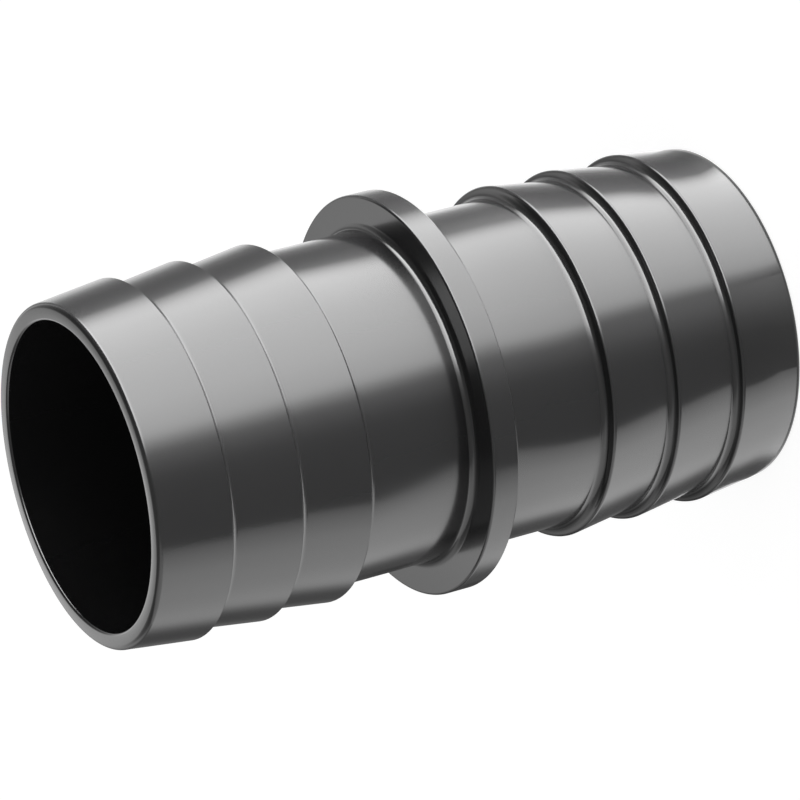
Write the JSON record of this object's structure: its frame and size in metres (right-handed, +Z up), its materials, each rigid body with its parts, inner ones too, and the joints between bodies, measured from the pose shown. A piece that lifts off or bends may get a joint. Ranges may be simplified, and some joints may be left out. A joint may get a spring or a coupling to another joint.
{
  "type": "hose connector",
  "caption": "Straight barbed hose connector, one moulded plastic tube with a ribbed tail on each side of a central stop collar.",
  "frame": {"origin": "centre of the lower end face, on the surface that the connector stands on", "axes": "+Z up along the axis of the bore, from the lower mouth to the upper mouth; the part is round about Z"},
  "size_m": [0.045, 0.045, 0.0796],
  "materials": {
    "body_plastic": "satin dark grey, smooth as moulded"
  },
  "bodies": {
    "root": {"connector_body": "body_plastic"}
  },
  "joints": []
}
